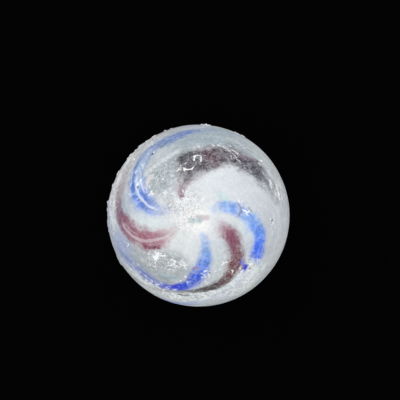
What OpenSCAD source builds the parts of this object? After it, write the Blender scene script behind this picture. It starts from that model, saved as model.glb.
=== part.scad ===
// Handmade glass marble: one fused ball of pale milky glass, with three maroon and three blue
// strands of glass melted into its surface. They curl from the rough pole on +Z, where the hot
// glass was cut off, round to the other pole on -Z, and stand proud by less than a hair.
// Bearings are in degrees clockwise from +Y, seen from above +Z. Colatitudes start at +Z.

/* [Ball] */
// Diameter of the marble
ball_d = 16; // [12:0.5:26]

/* [Coloured strands] */
// Width of a blue or maroon strand, as a share of the ball's diameter
strand_share = 0.065; // [0.05:0.005:0.07]
// Width of the broad maroon strand, as a multiple of the others'
broad_strand = 1.5; // [1:0.1:1.6]
// How deep the strands lie in the pale glass
strand_depth = 0.4; // [0.3:0.05:0.8]
// How far the strands stand out of the round of the ball
strand_relief = 0.03; // [0.025:0.005:0.05]

/* [Wear] */
// Width of the rough spot at the pole
cutoff_w = 2.2; // [1.6:0.1:2.6]
// Depth of the rough spot below the round of the ball
cutoff_depth = 0.08; // [0.04:0.01:0.12]
// Width of the largest hit marks
hit_w = 0.9; // [0.6:0.1:1.1]
// Depth of the largest hit marks
hit_depth = 0.13; // [0.08:0.01:0.18]

/* [Hidden] */

ball_r = ball_d / 2;
strand_w = strand_share * ball_d;
fineness = 96;    // facets of the ball and of the strands in the preview
lap = 3;          // how far a strand's straight run reaches into its curls, in degrees
run_share = 0.85; // width and relief of the straight run, as a share of the curls'

// The strands leave the milky crown at one colatitude and bend to the right. All travel as far
// round their curl, and only the broad one's is wider. These are angles at the centre of the ball.
crown = 15;
curl = 60;
curl_r = 26;
broad_curl_r = 32;

// Where the strands leave the crown, as [bearing, heading, curl radius]. The heading is in degrees
// to the right of straight out from the pole. The broad maroon strand comes first.
maroon_starts = [[335, 40, broad_curl_r], [115, 0, curl_r], [225, 0, curl_r]];
blue_starts = [[75, 0, curl_r], [155, 0, curl_r], [275, 0, curl_r]];

// Hit marks and nicks, as [colatitude, bearing, size as a share of the largest]
hits = [
    [30, 355, 0.7], [40, 0, 0.6], [40, 295, 1], [30, 85, 0.8], [40, 220, 1], [45, 190, 0.5],
    [40, 145, 0.5], [55, 130, 1], [55, 95, 0.6], [70, 75, 0.8], [80, 20, 0.6], [80, 275, 0.6],
    [85, 310, 0.5]
];

// Height over the equator, for a ball of radius 1, of a vector given as [right, ahead, outward]
// where a strand leaves the crown
function height_of(v, heading) =
    v.z * cos(crown) - (v.y * cos(heading) - v.x * sin(heading)) * sin(crown);

// Travel from the end of a curl straight on to the equator
function run_of(heading, radius) =
    let (
        turned = curl / sin(radius),
        place = [sin(radius) * cos(radius) * (1 - cos(turned)), sin(radius) * sin(turned),
            cos(turned) + pow(cos(radius), 2) * (1 - cos(turned))],
        ahead = [cos(radius) * sin(turned), cos(turned), -sin(radius) * sin(turned)]
    )
    atan2(height_of(place, heading), -height_of(ahead, heading));

// Brings its children from the +Z pole to a place on the ball, facing straight away from the pole
module at(colat, bearing) {
    rotate([0, 0, -bearing]) rotate([-colat, 0, 0]) children();
}

// A stretch of strand from the top of the ball towards +Y. It turns right where radius is over
// 0, and is straight at 90.
module stretch(travel, radius, width, relief) {
    out = [sin(abs(radius)), cos(abs(radius))];
    side = [out[1], -out[0]];
    sweep = travel / out[0];
    reach = width / ball_d * 180 / PI;
    section = [[-reach, relief], [0, relief], [reach, relief],
        [0.7 * reach, -strand_depth], [-0.7 * reach, -strand_depth]];
    rotate([0, radius, 0]) rotate([0, 0, radius > 0 ? 180 - sweep : 0])
        rotate_extrude(angle = sweep, $fn = fineness)
            polygon([for (p = section) (ball_r + p[1]) * (cos(p[0]) * out + sin(p[0]) * side)]);
}

// A whole strand: a curl round the upper pole, a straight run across the equator that starts and
// ends inside the curls, and the same curl the other way round the lower pole
module strand(start, width) {
    heading = start[1];
    radius = start[2];
    run = 2 * run_of(heading, radius);
    at(crown, start[0]) rotate([0, 0, -heading]) {
        stretch(curl, radius, width, strand_relief);
        rotate([0, radius, 0]) rotate([0, 0, -curl / sin(radius)]) rotate([0, -radius, 0]) {
            rotate([lap, 0, 0])
                stretch(run + 2 * lap, 90, run_share * width, run_share * strand_relief);
            rotate([-run, 0, 0]) stretch(curl, -radius, width, strand_relief);
        }
    }
}

// A round hollow of a given width and depth in the surface, at one place on the ball
module hollow(colat, bearing, width, depth) {
    scoop_r = (width * width / 4 + depth * depth) / (2 * depth);
    at(colat, bearing) translate([0, 0, ball_r - depth + scoop_r]) sphere(r = scoop_r, $fn = 24);
}

module wear() {
    hollow(0, 0, cutoff_w, cutoff_depth);
    for (h = hits) hollow(h[0], h[1], hit_w * h[2], hit_depth * h[2]);
}

// The one piece: pale glass, with the strands melted into it
module marble() {
    difference() {
        union() {
            color([0.80, 0.84, 0.86]) sphere(d = ball_d, $fn = fineness);
            color([0.42, 0.22, 0.30]) for (i = [0:len(maroon_starts) - 1])
                strand(maroon_starts[i], strand_w * (i == 0 ? broad_strand : 1));
            color([0.20, 0.36, 0.86]) for (start = blue_starts) strand(start, strand_w);
        }
        wear();
    }
}

marble();
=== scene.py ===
import math

import bpy
import numpy as np
from mathutils import Matrix, Vector, noise


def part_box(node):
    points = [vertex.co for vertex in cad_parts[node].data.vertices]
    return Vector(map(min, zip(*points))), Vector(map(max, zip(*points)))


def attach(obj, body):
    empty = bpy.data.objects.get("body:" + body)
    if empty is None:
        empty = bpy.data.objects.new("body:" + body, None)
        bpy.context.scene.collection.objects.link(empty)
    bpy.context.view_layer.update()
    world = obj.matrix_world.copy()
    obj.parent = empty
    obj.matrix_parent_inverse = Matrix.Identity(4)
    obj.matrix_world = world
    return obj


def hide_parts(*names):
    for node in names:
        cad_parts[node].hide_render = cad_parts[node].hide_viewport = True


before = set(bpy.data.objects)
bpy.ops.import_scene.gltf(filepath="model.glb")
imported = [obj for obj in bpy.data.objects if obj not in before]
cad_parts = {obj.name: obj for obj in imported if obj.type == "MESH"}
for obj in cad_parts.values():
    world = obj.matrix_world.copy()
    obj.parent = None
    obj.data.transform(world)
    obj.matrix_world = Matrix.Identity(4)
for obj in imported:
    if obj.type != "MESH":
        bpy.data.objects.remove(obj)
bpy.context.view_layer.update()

# ---- View and light ------------------------------------------------------------------------
# The marble is looked down on, almost along the axis that its strands twist round, through a
# long lens. It stands on a dark matt table under one broad soft lamp and an even sky, and four
# low side lamps, which cast no glints, keep its rim bright.

MM = 0.001
ball_r = -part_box("marble")[0].z

towards_camera = Vector((0.07, -0.035, 1)).normalized()
right = Vector((0, 1, 0)).cross(towards_camera).normalized()
up = towards_camera.cross(right)
camera_turn = Matrix((right, up, towards_camera)).transposed().to_4x4()

bpy.ops.object.camera_add()
camera = bpy.context.object
camera.name = "camera"
camera.data.lens = 100
camera.data.sensor_width = 36
camera.data.clip_start = 0.005
camera.data.shift_x = 0.0035
camera.data.shift_y = 0.039
camera_distance = 12.27
camera.matrix_world = Matrix.Translation(towards_camera * camera_distance * ball_r) @ camera_turn
bpy.context.scene.camera = camera

table_span = 1.2
bpy.ops.mesh.primitive_plane_add(size=table_span, location=(0, 0, -ball_r))
table = bpy.context.object
table.name = "table"
bpy.ops.object.transform_apply(location=True, rotation=True, scale=True)
table_paint = bpy.data.materials.new("table_paint")
table_paint.use_nodes = True
matt_black = table_paint.node_tree.nodes["Principled BSDF"]
matt_black.inputs["Base Color"].default_value = (0.001, 0.001, 0.001, 1)
matt_black.inputs["Roughness"].default_value = 0.9
matt_black.inputs["Specular IOR Level"].default_value = 0
table.data.materials.append(table_paint)

lamp_place = Vector((-0.07, 0.09, 0.36))
bpy.ops.object.light_add(type="AREA", location=lamp_place)
lamp = bpy.context.object
lamp.name = "soft_lamp"
lamp.data.size = 0.60
lamp.data.energy = 0.38
lamp.rotation_euler = lamp_place.to_track_quat("Z", "Y").to_euler()

side_lamp_reach = 0.25
side_lamp_height = 0.02
for number in range(4):
    side = math.radians(45 + 90 * number)
    side_place = Vector((side_lamp_reach * math.sin(side), side_lamp_reach * math.cos(side),
                         side_lamp_height))
    bpy.ops.object.light_add(type="AREA", location=side_place)
    side_lamp = bpy.context.object
    side_lamp.name = f"side_lamp_{number + 1}"
    side_lamp.data.size = 0.20
    side_lamp.data.energy = 0.28
    side_lamp.visible_glossy = False
    side_lamp.rotation_euler = side_place.to_track_quat("Z", "Y").to_euler()

sky = bpy.data.worlds.new("sky")
bpy.context.scene.world = sky
sky.use_nodes = True
even_white = sky.node_tree.nodes["Background"]
even_white.inputs["Color"].default_value = (1, 1, 1, 1)
even_white.inputs["Strength"].default_value = 0.77
bpy.context.scene.view_settings.view_transform = "Standard"

# ---- The round of the marble ----------------------------------------------------------------
# The ball was shaped hot in a rounding block, so it is true to a few hundredths of a millimetre.
# It is a cube that is subdivided and cast to a sphere, which spreads its faces evenly. Its worn
# upper half gets finer faces, and its marks get finer ones still.

bpy.ops.object.select_all(action="DESELECT")
bpy.ops.mesh.primitive_cube_add(size=2 * ball_r)
marble = bpy.context.object
marble.name = "marble_glass"

rounding = marble.modifiers.new("rounding", "SUBSURF")
rounding.levels = rounding.render_levels = 6
bpy.ops.object.modifier_apply(modifier="rounding")
casting = marble.modifiers.new("casting", "CAST")
casting.factor = 1
casting.use_radius_as_size = False
casting.size = ball_r
bpy.ops.object.modifier_apply(modifier="casting")


def on_ball(colatitude, bearing):
    """Direction from the centre. Bearings run clockwise from +Y, seen from above the +Z pole."""
    down, turn = math.radians(colatitude), math.radians(bearing)
    return np.array([math.sin(down) * math.sin(turn), math.sin(down) * math.cos(turn),
                     math.cos(down)])


def directions(of_faces=False):
    """Direction from the centre to every vertex or face of the ball."""
    parts = marble.data.polygons if of_faces else marble.data.vertices
    found = np.empty(3 * len(parts))
    parts.foreach_get("center" if of_faces else "co", found)
    found = found.reshape(-1, 3)
    return found / np.linalg.norm(found, axis=1, keepdims=True)


def angles(ways, place):
    """Angle at the centre between each way and a place, in degrees."""
    return np.degrees(np.arccos(np.clip(ways @ place, -1, 1)))


def refine(chosen):
    """Cuts each chosen face in four."""
    bpy.ops.object.mode_set(mode="EDIT")
    bpy.ops.mesh.select_mode(type="FACE")
    bpy.ops.mesh.select_all(action="DESELECT")
    bpy.ops.object.mode_set(mode="OBJECT")
    marble.data.polygons.foreach_set("select", chosen)
    bpy.ops.object.mode_set(mode="EDIT")
    bpy.ops.mesh.subdivide(number_cuts=1)
    bpy.ops.object.mode_set(mode="OBJECT")


def smooth_step(value, low, high):
    """Rises smoothly from 0 at the low value to 1 at the high one."""
    share = np.clip((value - low) / (high - low), 0, 1)
    return share * share * (3 - 2 * share)


pole = on_ball(0, 0)
worn_half = 98
refine(angles(directions(of_faces=True), pole) < worn_half)

# ---- The marks -------------------------------------------------------------------------------
# Knocks on the worn half. A crescent bruise, an arched one, three stars and a few pits can be told
# apart, and the rest are small chips and cracks in clusters. Sizes are in millimetres, and places
# are (colatitude, bearing) in degrees.

chances = np.random.default_rng(16)


def away(start, heading, length):
    """Direction reached from a place, with the heading to the right of straight out from +Z."""
    out = np.array([start[0] * start[2], start[1] * start[2], start[2] ** 2 - 1])
    out /= np.linalg.norm(out)
    turn, reach = math.radians(heading), length * MM / ball_r
    ahead = math.cos(turn) * out + math.sin(turn) * np.cross(out, start)
    return math.cos(reach) * start + math.sin(reach) * ahead


def arc(centre, radius, middle, sweep, count=14):
    """Directions along an arc whose middle lies at one heading from its centre."""
    return np.array([away(centre, middle + turn, radius)
                     for turn in np.linspace(-sweep / 2, sweep / 2, count)])


def scratch(start, heading, length, bend=0, count=8):
    """Directions along a line that bends to the right by some degrees."""
    return np.array([away(start, heading + bend * share, length * share)
                     for share in np.linspace(0, 1, count)])


def ragged(start, heading, length, steps=6, sway=20):
    """Directions along a crooked line."""
    path = [start]
    for turn in chances.normal(0, sway, steps):
        heading += turn
        path.append(away(path[-1], heading, length / steps))
    return np.array(path)


# Each mark is (path, width, depth, whiteness): the crescent first, then the arch and its legs
arch = arc(on_ball(35, 5), 0.27, 0, 180)
marks = [
    (arc(on_ball(30, 355), 0.5, 180, 105), 0.20, 0.04, 0.9),
    (arch, 0.16, 0.03, 1.0),
    (scratch(arch[0], 185, 0.3), 0.15, 0.03, 1.0),
    (scratch(arch[-1], 175, 0.3), 0.15, 0.03, 1.0),
]

# The headings of each star's rays, from its middle
stars = {(10, 335): [-150, -80, 5, 30, 160], (30, 85): [-125, -90, 40],
         (35, 220): [-165, -110, -60, -10, 45, 95, 150]}
for place, headings in stars.items():
    for heading in headings:
        path = ragged(on_ball(*place), heading, chances.uniform(0.35, 0.75), sway=10)
        marks.append((path, 0.11, 0.02, 0.8))

# A worn patch in the middle of the largest star
marks.append((scratch(on_ball(35, 220), 10, 0.4), 0.42, 0.03, 0.9))

# Pale scratches, each in three fine strokes, as (place, heading, length, whiteness)
pale_scratches = [
    ((50, 20), 95, 2.2, 0.7), ((50, 25), 95, 1.5, 0.6), ((45, 35), 85, 0.8, 0.5),
    ((60, 65), 110, 0.9, 0.8), ((65, 70), 95, 1.0, 0.8), ((65, 75), 100, 0.7, 0.8),
    ((45, 285), 150, 0.7, 0.5), ((70, 235), 80, 0.9, 0.7), ((30, 195), -45, 0.8, 0.6),
]
for place, heading, length, white in pale_scratches:
    for _ in range(3):
        spot = away(on_ball(*place), heading + 90, chances.normal(0, 0.12))
        path = ragged(spot, heading, length * chances.uniform(0.6, 1), steps=20, sway=3)
        marks.append((path, 0.12, 0.01, white))

# Dark scratches, as (place, heading, length)
dark_scratches = [
    ((30, 85), -140, 0.5), ((30, 85), 65, 0.7), ((35, 85), 40, 0.5), ((50, 20), 95, 1.9),
    ((45, 55), 35, 0.9), ((65, 70), 100, 0.9), ((65, 75), 95, 0.6), ((40, 30), 240, 0.5),
    ((45, 310), 200, 0.8),
]

# Small burrs roughen the rim, painted pale as chipped glass with a painted highlight on each, as
# (first bearing, last bearing, how many)
burrs = [(255, 345, 22), (345, 395, 6), (235, 250, 2)]
for first, last, count in burrs:
    for _ in range(count):
        spot = on_ball(chances.uniform(78, 86), chances.uniform(first, last))
        path = ragged(spot, chances.uniform(60, 120), chances.uniform(0.05, 0.3))
        marks.append((path, chances.uniform(0.14, 0.26), -chances.uniform(0.04, 0.09), 0.7))

# Stray bits of strand glass, as (place, heading, length, width, how solid they are, colour)
strays = [
    ((45, 135), 20, 0.3, 0.30, 0.6, "8C88DC"), ((50, 135), 60, 0.5, 0.28, 0.9, "3838E2"),
    ((30, 225), 40, 1.2, 0.28, 0.7, "8A3A5C"), ((50, 40), 45, 1.8, 0.25, 0.7, "7E6478"),
    ((10, 325), 35, 1.3, 0.45, 0.3, "8E4A66"), ((35, 350), 75, 0.6, 0.70, 0.5, "484E53"),
    ((20, 350), 10, 0.5, 0.55, 0.4, "5C4C56"), ((60, 185), 80, 0.8, 0.30, 0.5, "7A7C7E"),
    ((35, 175), 90, 0.3, 0.22, 0.6, "9678A5"), ((40, 305), -85, 0.8, 0.28, 0.8, "BCDCF6"),
]

# Smears in the milky glass, as (place, heading, length, width, colour)
smears = [
    ((5, 130), -40, 0.7, 0.40, "CCBFC4"), ((5, 190), -100, 0.8, 0.35, "B0C8CC"),
    ((20, 60), 75, 0.8, 0.60, "C6DCDC"), ((40, 310), 100, 3.1, 0.45, "D2DADC"),
    ((45, 195), 90, 1.2, 0.50, "8CA8B2"), ((35, 310), -95, 1.2, 0.50, "D8D4DA"),
    ((50, 130), 20, 0.8, 0.40, "DCDCC4"),
]

# Pits, each sunk and painted dark inside as painted shade, with a painted highlight beside it, as
# (place, width, depth)
pits = [((40, 295), 0.28, 0.09), ((50, 325), 0.24, 0.07), ((55, 95), 0.28, 0.08),
        ((40, 165), 0.16, 0.05), ((55, 135), 0.24, 0.06), ((45, 145), 0.18, 0.05)]

# Clusters of chips and cracks, as (place, reach, number of chips, number of cracks)
clusters = [
    ((40, 220), 0.6, 9, 3), ((35, 205), 0.6, 5, 3), ((35, 195), 0.5, 3, 5), ((45, 190), 0.5, 6, 2),
    ((45, 175), 0.6, 3, 2), ((40, 165), 0.5, 4, 2), ((40, 150), 0.6, 6, 2), ((50, 145), 0.7, 8, 2),
    ((55, 130), 0.6, 9, 3), ((55, 95), 0.5, 3, 2), ((65, 75), 0.7, 3, 4), ((60, 55), 0.9, 6, 3),
    ((50, 35), 0.9, 4, 3), ((45, 20), 0.9, 5, 2), ((40, 5), 0.7, 3, 1), ((30, 345), 0.6, 5, 2),
    ((25, 310), 1.0, 8, 2), ((35, 295), 1.0, 7, 3), ((50, 310), 0.9, 5, 3), ((50, 130), 0.6, 8, 2),
    ((45, 245), 0.9, 4, 2), ((5, 290), 1.1, 4, 12), ((10, 60), 0.8, 2, 6),
    ((60, 195), 1.0, 14, 12), ((60, 210), 1.0, 14, 8), ((60, 180), 1.0, 14, 12),
    ((60, 225), 0.8, 8, 6), ((55, 150), 1.2, 5, 12), ((65, 280), 1.3, 8, 14),
    ((65, 305), 1.2, 6, 12), ((65, 330), 1.0, 4, 8), ((60, 30), 1.0, 4, 3),
    ((60, 135), 0.9, 4, 6), ((60, 165), 0.9, 4, 2), ((35, 90), 0.3, 3, 1),
]
for place, reach, chip_count, crack_count in clusters:
    middle = on_ball(*place)
    lie = chances.uniform(0, 180)
    for number in range(chip_count + crack_count):
        spot = away(middle, chances.uniform(0, 360), reach * math.sqrt(chances.uniform()))
        white = chances.uniform(0.4, 1)
        if number < chip_count:
            size = 0.06 + 0.32 * chances.uniform() ** 2
            for _ in range(chances.integers(1, 4)):
                path = ragged(spot, chances.uniform(0, 360), size)
                marks.append((path, chances.uniform(0.05, 0.12), 0.03, white))
        else:
            path = scratch(spot, lie + chances.normal(0, 20), chances.uniform(0.2, 0.8),
                           chances.uniform(-25, 25))
            marks.append((path, chances.uniform(0.05, 0.10), 0.01, 0.8 * white))


def gap_mm(ways, places):
    """Distance from every way to the nearest of the places, in millimetres on the surface."""
    return np.arccos(np.clip((ways @ np.atleast_2d(places).T).max(axis=1), -1, 1)) * ball_r / MM


def beside(ways, path, reach):
    """Which ways are within some millimetres of a path, and how far from it they lie."""
    middle = path.mean(axis=0) / np.linalg.norm(path.mean(axis=0))
    span = angles(path, middle).max() + math.degrees(reach * MM / ball_r)
    close = np.nonzero(angles(ways, middle) < span)[0]
    gap = gap_mm(ways[close], path)
    return close[gap < reach], gap[gap < reach]


margin = 0.04
faces = directions(of_faces=True)
near_marks = np.zeros(len(faces), bool)
for path, width, *_ in marks:
    near_marks[beside(faces, path, 0.5 * width + margin)[0]] = True
for place, width, _ in pits:
    near_marks[beside(faces, on_ball(*place)[None], width)[0]] = True
refine(near_marks)
bpy.ops.object.shade_smooth()

outward = directions()
vertex_count = len(outward)

# ---- The coloured strands --------------------------------------------------------------------
# Three maroon and three blue rods of glass were laid on the hot ball from pole to pole and
# twisted with it. They share one curl, a little wider for the broad one, at six bearings, and
# their colour wanders a little to either side of it.

strand_width = 0.065 * 2 * ball_r
crown = 15
curl = 60
curl_r = 26
broad_curl_r = 32
straight = 90
strand_richness = 1.15


def glass_colour(code, richness):
    """Linear colour of a six-digit hexadecimal one, deepened where richness is over 1."""
    values = [int(code[digit:digit + 2], 16) / 255 for digit in (0, 2, 4)]
    linear = [value / 12.92 if value <= 0.04045 else ((value + 0.055) / 1.055) ** 2.4
              for value in values]
    return np.array(linear) ** richness


def spun(vector, axis, angle):
    """The vector turned about an axis."""
    return (vector * math.cos(angle) + np.cross(axis, vector) * math.sin(angle)
            + axis * np.dot(axis, vector) * (1 - math.cos(angle)))


def bend_on(point, ahead, travel, radius, step=0.5):
    """Points and ways ahead along a bend on the ball, to the left where the radius is negative."""
    reach = math.radians(abs(radius))
    hand = math.copysign(1, radius)
    axis = point * math.cos(reach) + hand * np.cross(ahead, point) * math.sin(reach)
    turns = [-hand * math.radians(gone) / math.sin(reach)
             for gone in np.linspace(0, travel, math.ceil(travel / step) + 1)]
    return [spun(point, axis, turn) for turn in turns], [spun(ahead, axis, turn) for turn in turns]


def strand_line(bearing, heading, radius):
    """Points, ways to the right and travel: a curl, a straight run and the curl mirrored."""
    point = on_ball(crown, bearing)
    out = on_ball(crown + 90, bearing)
    turn = math.radians(heading)
    ahead = math.cos(turn) * out + math.sin(turn) * np.cross(out, point)
    points, aheads = bend_on(point, ahead, curl, radius)
    run = 2 * math.degrees(math.atan2(points[-1][2], -aheads[-1][2]))
    for travel, bend_r in [(run, straight), (curl, -radius)]:
        more_points, more_aheads = bend_on(points[-1], aheads[-1], travel, bend_r)
        points += more_points[1:]
        aheads += more_aheads[1:]
    points, aheads = np.array(points), np.array(aheads)
    steps = np.linalg.norm(np.diff(points, axis=0), axis=1)
    return points, np.cross(aheads, points), np.degrees(np.append(0, np.cumsum(steps)))


# Each strand starts at the crown as (bearing, heading, curl radius). Speckle is how far its glass
# is broken up into grains, and clouds how milky it is. Lean, width, shows and colour are given
# along its travel in degrees: how many millimetres the colour leans to the right, its width as a
# multiple of strand_width, how clearly it shows, and its shade. A seam is (place across, first
# travel, last travel, half width, strength), with the place and half width in half strand widths.
# Near the rim, as seen from above, each strand is painted fainter and paler in its shows and
# colour, a painted sheen of the frosted skin at grazing angles; on the hidden side it shows
# clearly again.
strands = {
    "maroon_broad": dict(
        start=(335, 40, broad_curl_r), speckle=0.55, clouds=0.6,
        lean=[(0, 0.0), (12, -0.2), (35, -0.2), (50, 0.05), (70, 0.1), (80, 0.0)],
        width=[(0, 0.8), (8, 1.4), (15, 2.2), (60, 2.2), (75, 1.6), (140, 1.2)],
        shows=[(0, 0.25), (5, 0.5), (9, 0.85), (15, 0.95), (60, 1.0), (70, 0.75), (78, 0.4),
               (88, 0.1), (95, 0.0), (120, 0.0), (160, 0.85), (250, 0.8), (260, 0.1)],
        colour=[(0, "A86C80"), (6, "74445A"), (12, "4E3C48"), (20, "40303E"), (28, "5C2238"),
                (38, "442E40"), (55, "44424E"), (70, "62626E"), (160, "6A3E50")]),
    "blue_short": dict(
        start=(75, 0, curl_r), speckle=0.2, clouds=0.7,
        lean=[(0, 0.15), (15, 0.3), (30, 0.5), (50, 0.4), (65, 0.0)],
        width=[(0, 0.9), (10, 1.1), (20, 1.1), (30, 1.5), (50, 1.5), (120, 1.0)],
        shows=[(0, 0.3), (4, 0.75), (10, 0.85), (15, 0.45), (20, 0.7), (50, 0.95), (55, 0.8),
               (60, 0.05), (100, 0.05), (140, 0.85), (270, 0.8), (280, 0.1)],
        colour=[(0, "9CC4F4"), (5, "6AA8F6"), (8, "8CBCF8"), (13, "4A90F4"), (25, "55A0F4"),
                (40, "3C8CF8"), (50, "3278F8"), (140, "466EE0")]),
    "maroon_tail": dict(
        start=(115, 0, curl_r), speckle=0.5, clouds=0.1,
        lean=[(0, 0.0), (20, 0.1), (50, 0.3), (80, 0.35), (95, 0.0)],
        width=[(0, 0.8), (10, 1.3), (35, 1.5), (45, 1.3), (55, 0.9), (65, 0.6), (80, 0.5),
               (150, 1.0)],
        shows=[(0, 0.0), (5, 0.5), (10, 0.95), (60, 0.95), (70, 0.85), (80, 0.5), (90, 0.3),
               (130, 0.3), (160, 0.85), (270, 0.8), (280, 0.1)],
        colour=[(0, "BE8C9B"), (5, "9C5272"), (15, "8C4060"), (25, "80304C"), (35, "74263A"),
                (45, "641C2C"), (52, "462420"), (65, "42423A"), (80, "6E6870"), (160, "6E3C50")]),
    "blue_deep": dict(
        start=(155, 0, curl_r), speckle=0.3, clouds=0.55,
        lean=[(0, 0.0), (15, 0.15), (28, 0.1), (38, -0.2), (50, -0.3), (70, 0.0)],
        width=[(0, 0.6), (10, 0.9), (30, 1.3), (40, 1.2), (50, 0.9), (60, 1.1), (70, 1.3),
               (90, 1.1), (150, 1.0)],
        shows=[(0, 0.4), (10, 0.7), (20, 0.9), (30, 1.0), (50, 0.95), (60, 0.7), (80, 0.6),
               (95, 0.25), (130, 0.3), (160, 0.85), (270, 0.8), (280, 0.1)],
        colour=[(0, "8CB8EE"), (10, "62A0EA"), (20, "3A80E6"), (30, "2866DE"), (40, "1E56D6"),
                (48, "2038DC"), (52, "2A44D2"), (60, "4A62C8"), (80, "6C88CC"), (95, "8CA0CD"),
                (160, "466EE0")]),
    "maroon_split": dict(
        start=(225, 0, curl_r), speckle=0.6, clouds=0.3,
        seams=[(-0.2, 0, 48, 0.22, 0.5), (0.2, 25, 45, 0.12, 0.3)],
        lean=[(0, 0.0), (15, 0.3), (45, 0.3), (60, 0.0)],
        width=[(0, 0.8), (10, 1.4), (20, 1.8), (40, 1.75), (55, 1.2), (75, 1.2), (150, 1.0)],
        shows=[(0, 0.3), (10, 0.7), (20, 0.9), (50, 0.85), (60, 0.6), (75, 0.3), (90, 0.2),
               (130, 0.3), (160, 0.85), (270, 0.8), (280, 0.1)],
        colour=[(0, "C8A5AA"), (10, "B4607C"), (20, "A04064"), (30, "9A4262"), (45, "8A4064"),
                (60, "825064"), (75, "826978"), (160, "6E3C50")]),
    "blue_split": dict(
        start=(275, 0, curl_r), speckle=0.45, clouds=1.0,
        seams=[(0.05, 3, 38, 0.17, 0.9), (0.7, 18, 50, 0.15, 0.8), (-0.7, 28, 45, 0.12, 0.6),
               (0.2, 22, 60, 0.50, 0.45)],
        lean=[(0, 0.0), (5, -0.15), (20, -0.15), (35, 0.0)],
        width=[(0, 0.9), (10, 1.4), (20, 1.7), (40, 1.5), (60, 1.4), (80, 1.2), (150, 1.0)],
        shows=[(0, 0.3), (5, 0.5), (15, 0.9), (30, 0.85), (40, 0.75), (60, 0.7), (80, 0.7),
               (92, 0.3), (105, 0.15), (130, 0.12), (160, 0.85), (270, 0.8), (280, 0.1)],
        colour=[(0, "96A8E0"), (10, "6E9CEA"), (20, "4A8AE8"), (30, "4688DC"), (40, "6098D8"),
                (60, "7494CC"), (80, "5A80CC"), (95, "7C94CC"), (160, "466EE0")]),
}

# Every point of the ball takes the strand that it lies nearest to, in half widths from its middle
far_off = 3.0
across = np.full(vertex_count, far_off)
shows, speckle, cloudy, along, which = np.zeros((5, vertex_count))
strand_tint = np.ones((vertex_count, 3))
for number, strand in enumerate(strands.values()):
    line, sides, travelled = strand_line(*strand["start"])
    nearest = np.argmax(outward @ line.T, axis=1)
    travel = travelled[nearest]
    gap = np.arccos(np.clip(np.sum(outward * line[nearest], axis=1), -1, 1))
    rightwards = np.sum(outward * sides[nearest], axis=1)
    half = strand_width / 2 / ball_r * np.interp(travel, *zip(*strand["width"]))
    lean = np.interp(travel, *zip(*strand["lean"])) * MM / ball_r
    share = (np.where(rightwards > 0, 1, -1) * gap - lean) / half
    nearer = np.abs(share) < np.abs(across)
    across[nearer] = share[nearer]
    shows[nearer] = np.interp(travel, *zip(*strand["shows"]))[nearer]
    speckle[nearer] = strand["speckle"]
    cloudy[nearer] = strand["clouds"]
    along[nearer] = (np.radians(travel) * ball_r / MM)[nearer]
    which[nearer] = number
    stops, codes = zip(*strand["colour"])
    shades = np.array([glass_colour(code, strand_richness) for code in codes])
    for channel in range(3):
        strand_tint[nearer, channel] = np.interp(travel, stops, shades[:, channel])[nearer]

# A stray bit of strand glass covers the ground as a strand does
cover = np.abs(across)
for place, heading, length, width, solid, code in strays:
    near, gap = beside(outward, scratch(on_ball(*place), heading, length), 1.2 * width)
    inside = 1 - smooth_step(gap, 0.2 * width, 1.2 * width)
    cover[near] += inside * (1 - solid - cover[near])
    shows[near] += inside * (1 - shows[near])
    stray_tint = glass_colour(code, strand_richness)
    strand_tint[near] += inside[:, None] * (stray_tint - strand_tint[near])

# ---- The pale ground -------------------------------------------------------------------------
# The body of the ball is milky glass, thicker and whiter round the worn pole, where a painted
# highlight is laid over the crown too, and clearer and greyer in some of the gaps between the
# strands. Its rim is warm or bluish from place to place.

ground_richness = 1.1
smear_richness = 1.15
ground_base = "C2C8CE"

# Shades of the ground, each laid over those before, as (colatitude, bearing, reach in degrees,
# colour, strength). The first, near white over the crown, and the last, a near-white spot beside
# the pole, are partly painted highlight.
ground_fields = [
    (0, 0, 25, "ECEEF2", 0.9), (25, 50, 25, "E0E4E8", 0.9), (45, 65, 20, "D2D6DE", 0.8),
    (35, 105, 10, "DCE6EA", 0.8), (70, 90, 20, "C6CCD6", 0.8), (85, 110, 20, "D4D8DE", 0.8),
    (30, 320, 15, "8A999F", 0.9), (70, 15, 15, "A9BAC2", 0.7), (55, 225, 20, "98A1A6", 0.9),
    (60, 150, 15, "DEE6E4", 0.8), (65, 265, 10, "A0AEC0", 0.6), (55, 350, 15, "98A8B4", 0.9),
    (55, 15, 15, "98AAB4", 0.9), (60, 35, 15, "A6B6BE", 0.8), (50, 275, 10, "A2B0C0", 0.8),
    (35, 350, 10, "7C868C", 0.8), (30, 250, 15, "D8E2E4", 0.8), (60, 245, 15, "98A4CA", 0.9),
    (20, 200, 15, "E0E4E4", 0.8), (45, 215, 20, "949CA0", 0.9), (35, 200, 10, "8E969A", 0.8),
    (30, 150, 10, "C8D2D6", 0.6), (50, 155, 10, "ACB9BA", 0.6), (60, 145, 20, "DEE8E8", 0.9),
    (65, 180, 15, "CFDAD8", 0.9), (65, 215, 15, "CED6D2", 0.9), (65, 290, 15, "D0CACE", 0.8),
    (70, 320, 15, "CCD2D4", 0.7), (85, 45, 20, "D6E2E0", 0.8), (80, 0, 15, "A4B0C8", 0.6),
    (5, 150, 10, "FAFAF8", 0.9),
]
ground = np.tile(glass_colour(ground_base, ground_richness), (vertex_count, 1))
for colatitude, bearing, reach, code, strength in ground_fields:
    off = angles(outward, on_ball(colatitude, bearing)) / reach
    blend = strength * (1 - smooth_step(off, 0.3, 1.3))
    ground += blend[:, None] * (glass_colour(code, ground_richness) - ground)
for place, heading, length, width, code in smears:
    near, gap = beside(outward, scratch(on_ball(*place), heading, length), width)
    inside = 0.9 * (1 - smooth_step(gap, 0.2 * width, 0.9 * width))
    ground[near] += inside[:, None] * (glass_colour(code, smear_richness) - ground[near])

# ---- Wear ------------------------------------------------------------------------------------
# One half of the marble has been knocked about. Its skin is scoured, its cut-off pole is a rough
# hollow, and the marks are sunk into it, apart from the burrs, which stand out.

least_worn = 0.12

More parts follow.
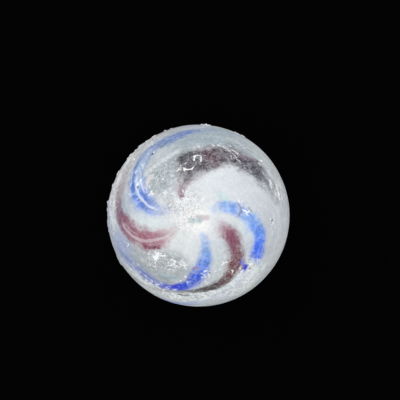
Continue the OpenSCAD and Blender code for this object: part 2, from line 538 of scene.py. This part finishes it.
# Worn stretches of the skin, as (colatitude, bearing, reach in degrees, strength)
worn_fields = [
    (10, 315, 15, 1.0), (5, 230, 10, 0.8), (30, 325, 15, 0.8), (25, 290, 10, 0.8),
    (35, 5, 10, 1.0), (40, 20, 10, 1.0), (45, 35, 10, 1.0), (50, 50, 10, 1.0),
    (55, 65, 10, 0.9), (40, 220, 10, 1.0), (35, 205, 10, 0.8), (40, 135, 10, 0.9),
    (50, 150, 10, 1.0), (30, 85, 5, 0.8), (40, 250, 10, 0.5), (60, 180, 10, 0.9),
    (60, 135, 10, 0.8), (60, 150, 15, 0.9), (60, 165, 10, 0.9), (65, 195, 10, 0.9),
    (65, 215, 10, 0.9), (65, 230, 10, 0.7), (65, 265, 10, 0.7), (65, 280, 10, 0.9),
    (65, 295, 10, 0.9), (70, 310, 10, 0.8), (70, 325, 10, 0.7), (65, 75, 10, 0.7),
]
worn = np.full(vertex_count, least_worn)
for colatitude, bearing, reach, strength in worn_fields:
    off = angles(outward, on_ball(colatitude, bearing)) / reach
    worn = np.maximum(worn, strength * (1 - smooth_step(off, 0.3, 1.4)))

strand_relief = 0.02 * MM
scour = 0.015
cutoff_depth = 0.06
grains_per_mm = 2.2
fine_grains_per_mm = 5

height = strand_relief * (1 - smooth_step(np.abs(across), 0.7, 1.1)) * np.minimum(1, 2 * shows)
spots = (outward * ball_r / MM).tolist()
grain = np.array([noise.noise(Vector(spot) * grains_per_mm) for spot in spots])
fine_grain = np.array([noise.noise(Vector(spot) * fine_grains_per_mm) for spot in spots])
height -= worn * MM * (scour * np.abs(grain) + scour * np.abs(fine_grain))
cutoff = 1 - smooth_step(gap_mm(outward, pole), 0.5, 1.2)
height -= MM * cutoff * (cutoff_depth - 0.06 * grain - 0.05 * fine_grain)

bruise_and_highlight, pit_shade_and_dark_scratches = np.zeros((2, vertex_count))
for path, width, depth, white in marks:
    near, gap = beside(outward, path, width)
    gap = gap * (1 + 0.9 * grain[near] + 0.8 * fine_grain[near])
    inside = 1 - smooth_step(gap, 0.2 * width, 0.6 * width)
    height[near] -= depth * MM * inside
    bruise_and_highlight[near] = np.maximum(bruise_and_highlight[near], white * inside)
# Each pit is painted dark inside as painted shade, and a spot beside it is painted pale as a
# painted highlight
for place, width, depth in pits:
    spot = on_ball(*place)
    inside = 1 - smooth_step(gap_mm(outward, spot), 0.2 * width, 0.6 * width)
    height -= depth * MM * inside
    pit_shade_and_dark_scratches = np.maximum(pit_shade_and_dark_scratches, inside)
    highlight_gap = gap_mm(outward, away(spot, 60, 0.8 * width))
    bruise_and_highlight = np.maximum(bruise_and_highlight, 1 - smooth_step(highlight_gap, 0.05, 0.5 * width))

scratch_width = 0.14
scratch_darkness = 0.7
for place, heading, length in dark_scratches:
    near, gap = beside(outward, ragged(on_ball(*place), heading, length), scratch_width)
    inside = 1 - smooth_step(gap, 0.03, 0.13)
    pit_shade_and_dark_scratches[near] = np.maximum(pit_shade_and_dark_scratches[near], scratch_darkness * inside)

worn_places = outward * (ball_r + height)[:, None]
marble.data.vertices.foreach_set("co", worn_places.ravel())

# ---- The glass -------------------------------------------------------------------------------
# One material for the whole ball: milky glass with a worn satin skin. The mesh carries where the
# strands, the shades of the ground, the wear and the painted shade and highlights lie, and the
# material breaks them up into grain.


def carry(name, values, kind="FLOAT"):
    """Stores one value, vector or colour for each vertex, for the material to read."""
    layer = marble.data.attributes.new(name, kind, "POINT")
    if kind == "FLOAT":
        layer.data.foreach_set("value", values.astype(np.float32))
    elif kind == "FLOAT_VECTOR":
        layer.data.foreach_set("vector", values.astype(np.float32).ravel())
    else:
        four = np.ones((vertex_count, 4), np.float32)
        four[:, :3] = values
        layer.data.foreach_set("color", four.ravel())


carry("across", cover)
carry("shows", shows)
carry("speckle", speckle)
carry("cloudy", cloudy)
carry("strand_way", np.column_stack([along, np.clip(across, -2, 2), which]), "FLOAT_VECTOR")
carry("worn", worn)
carry("bruise_and_highlight", bruise_and_highlight)
carry("pit_shade_and_dark_scratches", pit_shade_and_dark_scratches)
carry("ground", ground, "FLOAT_COLOR")
carry("strand_tint", strand_tint, "FLOAT_COLOR")

glass = bpy.data.materials.new("milky_swirl_glass")
glass.use_nodes = True
tree = glass.node_tree


class Wire:
    """An output of a node of the glass. Arithmetic on it adds Math nodes."""

    def __init__(self, socket):
        self.socket = socket

    @staticmethod
    def node(kind, inputs=None, output=0, **settings):
        made = tree.nodes.new("ShaderNode" + kind)
        for name, value in settings.items():
            setattr(made, name, value)
        for name, value in (inputs or {}).items():
            if isinstance(value, Wire):
                tree.links.new(value.socket, made.inputs[name])
            else:
                made.inputs[name].default_value = value
        return Wire(made.outputs[output])

    def maths(self, operation, other=0.0):
        return Wire.node("Math", {0: self, 1: other}, operation=operation)

    def __add__(self, other):
        return self.maths("ADD", other)

    __radd__ = __add__

    def __sub__(self, other):
        return self.maths("SUBTRACT", other)

    def __rsub__(self, other):
        return Wire.node("Math", {0: other, 1: self}, operation="SUBTRACT")

    def __mul__(self, other):
        return self.maths("MULTIPLY", other)

    __rmul__ = __mul__

    def step(self, low, high):
        return Wire.node("MapRange", {"Value": self, "From Min": low, "From Max": high},
                         interpolation_type="SMOOTHSTEP")


def carried(name, output="Fac"):
    """What the mesh carries under a name."""
    return Wire.node("Attribute", output=output, attribute_name=name)


def mixed(factor, first, second, blend="MIX"):
    """The second colour over the first, by a factor."""
    return Wire.node("Mix", {0: factor, 6: first, 7: second}, output=2, data_type="RGBA",
                     blend_type=blend)


def veiled(base, veils):
    """A colour under veils, lowest first: how much of each shows, its shade and any blend."""
    for factor, shade, *blend in veils:
        base = mixed(factor, base, (*shade, 1), *blend)
    return base


def close_to(value, middle, inner, outer):
    """1 where a value is within the inner distance of a middle one, and 0 past the outer."""
    return 1 - (value - middle).maths("ABSOLUTE").step(inner, outer)


here = Wire.node("TexCoord", output="Object")
here_mm = Wire.node("VectorMath", {0: here, "Scale": 1 / MM}, operation="SCALE")


def mottle(per_mm, detail=2.0, roughness=0.5, distortion=0.0, where=None):
    """Cloudy noise with so many patches to the millimetre."""
    return Wire.node("TexNoise", {"Vector": where or here_mm, "Scale": per_mm, "Detail": detail,
                                  "Roughness": roughness, "Distortion": distortion})


worn_here = carried("worn")
shows_here = carried("shows")
across_here = carried("across")
speckle_here = carried("speckle")
cloudy_here = carried("cloudy")
bruise_and_highlight_here = carried("bruise_and_highlight")
strand_way = carried("strand_way", "Vector")

# Strand edges are soft, and frayed by the twisting of the hot glass into trails that run along the
# strand. Maroon breaks up into grains.
way_here = Wire.node("VectorMath", {0: strand_way, 1: (0.3, 1.6, 7)}, operation="MULTIPLY")
trails = mottle(1.0, 3, 0.6, 0.3, way_here)
fray = (mottle(0.9, 4, 0.6) - 0.5) * 1.3 + (trails - 0.5) * 0.9
fray = fray + (mottle(4.5, 2, 0.7) - 0.5) * (0.4 + 0.9 * speckle_here)
# How clearly a strand shows includes its painted fading toward the rim, a painted grazing sheen
strand_mask = (1 - (across_here + fray).step(0.38, 1.50)) * shows_here.maths("POWER", 0.8)
patchy = mottle(2.5, 3, 0.6).step(0.28, 0.50)
strand_mask = strand_mask * (1 - (1 - patchy) * (0.9 - 0.6 * shows_here))

# Streaks of milk follow the twist: the ball is unwound before they are looked up. The milk and the
# flecks are strongest where the rim is worn.
twist = 2.2
height_share = Wire.node("SeparateXYZ", {0: here}, output=2) * (1 / ball_r)
unwound = Wire.node("VectorRotate", {"Vector": here_mm, "Axis": (0, 0, 1),
                                     "Angle": (1 - height_share) * twist})
streaks = Wire.node("VectorMath", {0: unwound, 1: (1.6, 1.6, 0.35)}, operation="MULTIPLY")
milk = mottle(0.9, 4, 0.6, 0.4, streaks)

rim_here = 1 - height_share.step(0.42, 0.66)
rim_worn = rim_here * (0.1 + 0.9 * worn_here)
blots = mottle(0.7, 3, 0.6, 0.5)
flecks = mottle(1.9, 4, 0.7, 1.0)
dust = mottle(6.0, 3, 0.7)
bloom = mottle(3.5, 3, 0.7, 0.5)
ground_here = veiled(carried("ground", "Color"), [
    (milk.step(0.40, 0.70) * (0.18 + 0.45 * rim_worn), (0.93, 0.94, 0.93)),
    ((1 - milk.step(0.30, 0.50)) * (0.12 + 0.40 * rim_worn), (0.40, 0.46, 0.52)),
    ((1 - blots.step(0.35, 0.55)) * worn_here * 0.30, (0.32, 0.33, 0.36)),
    (flecks.step(0.50, 0.57) * rim_worn * 0.95, (0.95, 0.96, 0.95)),
    ((1 - flecks.step(0.41, 0.48)) * rim_worn * 0.75, (0.30, 0.35, 0.38)),
    (dust.step(0.40, 0.62) * (0.16 + 0.25 * rim_worn), (0.36, 0.40, 0.44)),
    (bloom.step(0.48, 0.66) * 0.22, (0.90, 0.92, 0.92)),
])

# The strands' colour is broken up by light and deep grains, by trails along them and by clouds
light_grains = mottle(5.5, 2, 0.6, 0.3).step(0.56, 0.64) * speckle_here
deep_grains = (1 - mottle(4.5, 2, 0.6).step(0.36, 0.46)) * (0.15 + 0.6 * speckle_here)
clouds = mottle(1.6, 3, 0.65, 0.6)
tint_here = veiled(carried("strand_tint", "Color"), [
    (light_grains * 0.40, (0.50, 0.36, 0.40)),
    (deep_grains, (0.25, 0.25, 0.25), "MULTIPLY"),
    ((1 - trails.step(0.30, 0.50)) * 0.55, (0.45, 0.45, 0.50), "MULTIPLY"),
    (trails.step(0.52, 0.70) * 0.30 * cloudy_here, (0.70, 0.75, 0.85)),
    ((1 - clouds.step(0.38, 0.50)) * 0.60 * cloudy_here, (0.50, 0.50, 0.62), "MULTIPLY"),
    (clouds.step(0.50, 0.62) * 0.36 * cloudy_here, (0.70, 0.77, 0.86)),
])
colour = mixed(strand_mask, ground_here, tint_here)

# Seams are thin pale lines between two lanes of one strand, and fade at both ends
fade_in = 5
fade_out = 8
along_here, place_here, which_here = [Wire.node("SeparateXYZ", {0: strand_way}, output=axis)
                                      for axis in range(3)]
place_here = place_here + (mottle(1.2, 2) - 0.5) * 0.25
seam_tint = mixed(0.68, tint_here, (0.88, 0.91, 0.96, 1))
degree_mm = math.radians(1) * ball_r / MM
for number, strand in enumerate(strands.values()):
    for place, first, last, half, strength in strand.get("seams", []):
        seam = close_to(place_here, place, 0.4 * half, half)
        seam = seam * along_here.step(first * degree_mm, (first + fade_in) * degree_mm)
        seam = seam * (1 - along_here.step((last - fade_out) * degree_mm, last * degree_mm))
        seam = seam * close_to(which_here, number, 0.05, 0.20)
        seam = seam * (1 - across_here.step(0.95, 1.15)) * strength
        colour = mixed(seam, colour, seam_tint)

# Fine wear, thick in the worn ground: squiggles at the crown, dark grains, pale grains and thin
# cracks. The painted shade in the pits and the dark scratches lie over it, and the pale marks,
# with the painted highlights beside the pits and on the burrs, lie over them.
crown_here = height_share.step(0.925, 0.97)
worn_ground = worn_here * (1 - 0.75 * strand_mask)
squiggles = close_to(mottle(2.6, 2, 0.5, 2.5), 0.5, 0.01, 0.05) * crown_here * worn_here
dark_grains = (1 - mottle(5.0, 2, 0.6).step(0.33, 0.45)) * worn_here * (1 - 0.85 * crown_here)
pale_grains = mottle(4.0, 2, 0.6, 0.5).step(0.55, 0.66) * worn_ground
fine_cracks = close_to(mottle(3.2, 2, 0.5, 1.0), 0.5, 0.008, 0.05) * worn_ground
wide_cracks = close_to(mottle(1.5, 3, 0.6, 1.5), 0.5, 0.004, 0.022) * worn_ground
pale_marks_and_highlights = (bruise_and_highlight_here + (mottle(7.0, 2) - 0.5) * 0.6 * bruise_and_highlight_here).step(0.15, 0.90)
colour = veiled(colour, [
    (squiggles * 0.85, (0.24, 0.24, 0.23)),
    (dark_grains * 0.38, (0.10, 0.11, 0.13)),
    (pale_grains * 0.32, (0.78, 0.80, 0.82)),
    (fine_cracks * 0.40, (0.85, 0.87, 0.88)),
    (wide_cracks * 0.75, (0.95, 0.96, 0.96)),
    # Painted shade in the pits with the dark scratches, then pale marks with the painted
    # highlights
    (carried("pit_shade_and_dark_scratches") * 0.8, (0.06, 0.07, 0.09)),
    (pale_marks_and_highlights * 0.92, (0.93, 0.95, 0.96)),
])

roughness = 0.30 + 0.30 * worn_here + 0.1 * milk
bumps = mottle(6, 3, 0.65) * (0.15 + 0.85 * worn_here)
bump = Wire.node("Bump", {"Strength": 0.5, "Distance": 0.02 * MM, "Height": bumps})

surface = tree.nodes["Principled BSDF"]
tree.links.new(colour.socket, surface.inputs["Base Color"])
tree.links.new(roughness.socket, surface.inputs["Roughness"])
tree.links.new(bump.socket, surface.inputs["Normal"])
surface.inputs["IOR"].default_value = 1.5
surface.inputs["Specular IOR Level"].default_value = 0.35
surface.inputs["Subsurface Weight"].default_value = 0.5
surface.inputs["Subsurface Radius"].default_value = (1.0, 1.1, 1.2)
surface.inputs["Subsurface Scale"].default_value = 1.2 * MM
marble.data.materials.append(glass)

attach(marble, "root")
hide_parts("marble")
